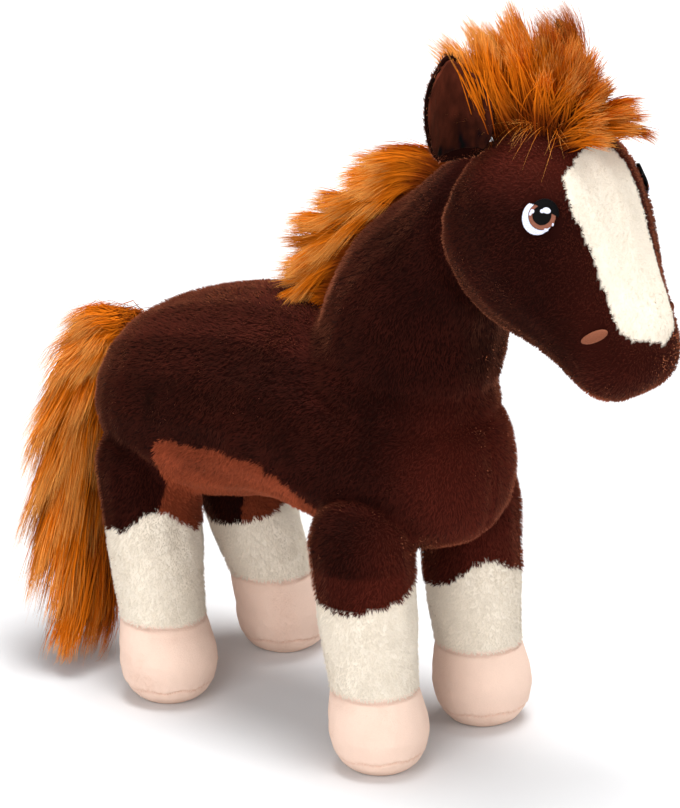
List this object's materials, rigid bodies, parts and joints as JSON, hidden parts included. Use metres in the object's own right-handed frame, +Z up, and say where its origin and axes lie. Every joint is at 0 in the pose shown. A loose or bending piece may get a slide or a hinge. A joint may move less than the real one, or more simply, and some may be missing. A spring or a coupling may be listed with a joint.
{
  "type": "plush horse",
  "caption": "Standing stuffed horse with sewn pile panels, long-pile mane, forelock and tail, pale blaze and socks, embroidered eyes and padded hooves.",
  "frame": {"origin": "on the floor under the middle of the bounding box, between the four hooves", "axes": "the horse faces -Y, its right side is at -X and +Z is up"},
  "size_m": [0.101, 0.2848, 0.28],
  "materials": {
    "pile_brown": "short dark chestnut pile",
    "pile_light_brown": "short lighter brown pile",
    "pile_cream": "short cream pile",
    "nap_peach": "brushed peach nap",
    "nap_dark": "short brown nap inside the ears",
    "long_pile_ginger": "long ginger pile",
    "stuffing": "white fibre filling, not seen",
    "thread_black": "embroidery thread",
    "thread_tan": "satin-stitched embroidery thread"
  },
  "bodies": {
    "torso": {"body_panel_right": "pile_brown", "body_panel_left": "pile_brown", "belly_gusset": "pile_light_brown", "body_stuffing": "stuffing"},
    "neck": {"neck_skin": "pile_brown", "neck_stuffing": "stuffing", "mane": "long_pile_ginger"},
    "head": {"cheek_panel_right": "pile_brown", "cheek_panel_left": "pile_brown", "forehead_panel": "pile_brown", "blaze_panel": "pile_cream", "chin_gusset": "pile_brown", "head_stuffing": "stuffing", "eye_right": "thread_black", "eye_left": "thread_black", "nostril_right": "thread_tan", "nostril_left": "thread_tan", "forelock": "long_pile_ginger"},
    "ear_right": {"ear_shell_right": "pile_brown", "ear_lining_right": "nap_dark"},
    "ear_left": {"ear_shell_left": "pile_brown", "ear_lining_left": "nap_dark"},
    "leg_front_right": {"leg_skin_front_right": "pile_brown", "sock_front_right": "pile_cream", "hoof_front_right": "nap_peach", "sole_front_right": "nap_peach", "leg_stuffing_front_right": "stuffing"},
    "leg_front_left": {"leg_skin_front_left": "pile_brown", "sock_front_left": "pile_cream", "hoof_front_left": "nap_peach", "sole_front_left": "nap_peach", "leg_stuffing_front_left": "stuffing"},
    "leg_hind_right": {"leg_skin_hind_right": "pile_brown", "sock_hind_right": "pile_cream", "hoof_hind_right": "nap_peach", "sole_hind_right": "nap_peach", "leg_stuffing_hind_right": "stuffing"},
    "leg_hind_left": {"leg_skin_hind_left": "pile_brown", "sock_hind_left": "pile_cream", "hoof_hind_left": "nap_peach", "sole_hind_left": "nap_peach", "leg_stuffing_hind_left": "stuffing"},
    "tail": {"tail": "long_pile_ginger"}
  },
  "joints": [
    {"name": "neck_bend", "type": "hinge", "parent": "torso", "child": "neck", "pos_m": [0, -0.01959, 0.128], "axis": [1, 0, 0], "range_deg": [-4, 12], "stiffness_Nm_per_rad": 1.5, "springref_deg": -1.43},
    {"name": "head_turn", "type": "hinge", "parent": "neck", "child": "head", "pos_m": [0, -0.06759, 0.208], "axis": [0, -0.6691, 0.7431], "range_deg": [-25, 25], "stiffness_Nm_per_rad": 0.4},
    {"name": "ear_fold_right", "type": "hinge", "parent": "head", "child": "ear_right", "pos_m": [-0.0235, -0.06909, 0.2335], "axis": [-0.8091, 0.5736, -0.1281], "range_deg": [-15, 30], "stiffness_Nm_per_rad": 0.02},
    {"name": "ear_fold_left", "type": "hinge", "parent": "head", "child": "ear_left", "pos_m": [0.0235, -0.06909, 0.2335], "axis": [-0.8091, -0.5736, 0.1281], "range_deg": [-15, 30], "stiffness_Nm_per_rad": 0.02},
    {"name": "leg_swing_front_right", "type": "hinge", "parent": "torso", "child": "leg_front_right", "pos_m": [-0.0295, -0.03059, 0.084], "axis": [1, 0, 0], "range_deg": [-12, 12], "stiffness_Nm_per_rad": 0.8},
    {"name": "leg_swing_front_left", "type": "hinge", "parent": "torso", "child": "leg_front_left", "pos_m": [0.0295, -0.03059, 0.084], "axis": [1, 0, 0], "range_deg": [-12, 12], "stiffness_Nm_per_rad": 0.8},
    {"name": "leg_swing_hind_right", "type": "hinge", "parent": "torso", "child": "leg_hind_right", "pos_m": [-0.0215, 0.08141, 0.084], "axis": [1, 0, 0], "range_deg": [-8, 8], "stiffness_Nm_per_rad": 0.8},
    {"name": "leg_swing_hind_left", "type": "hinge", "parent": "torso", "child": "leg_hind_left", "pos_m": [0.0215, 0.08141, 0.084], "axis": [1, 0, 0], "range_deg": [-8, 8], "stiffness_Nm_per_rad": 0.8},
    {"name": "tail_lift", "type": "hinge", "parent": "torso", "child": "tail", "pos_m": [0, 0.10491, 0.1275], "axis": [1, 0, 0], "range_deg": [0, 60], "stiffness_Nm_per_rad": 0.02}
  ]
}
